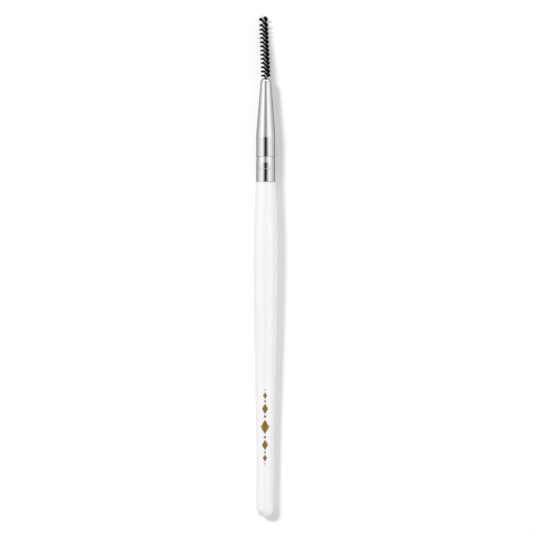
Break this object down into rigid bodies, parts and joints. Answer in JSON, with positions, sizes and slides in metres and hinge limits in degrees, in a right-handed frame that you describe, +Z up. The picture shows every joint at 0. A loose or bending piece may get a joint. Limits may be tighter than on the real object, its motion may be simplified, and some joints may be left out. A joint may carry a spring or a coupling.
{
  "type": "eyebrow brush",
  "caption": "Slim spiral eyebrow brush: tapered lacquered handle, crimped metal ferrule and a twisted-in-wire bristle head.",
  "frame": {"origin": "middle of the brush's footprint, on the surface that it lies on", "axes": "+Y along the brush towards the bristle head, +Z up, and the head is bent down and leans towards -X"},
  "size_m": [0.0082, 0.1754, 0.0082],
  "materials": {
    "white_lacquer": "glossy white lacquer on turned wood",
    "polished_ferrule": "polished",
    "plug_nylon": "moulded nylon",
    "stem_wire": "drawn steel wire",
    "black_nylon": "black nylon bristles",
    "gold_foil": "hot-stamped foil"
  },
  "bodies": {
    "root": {"handle": "white_lacquer", "ferrule": "polished_ferrule", "stem_plug": "plug_nylon", "twisted_wire": "stem_wire", "bristles": "black_nylon"}
  },
  "joints": []
}
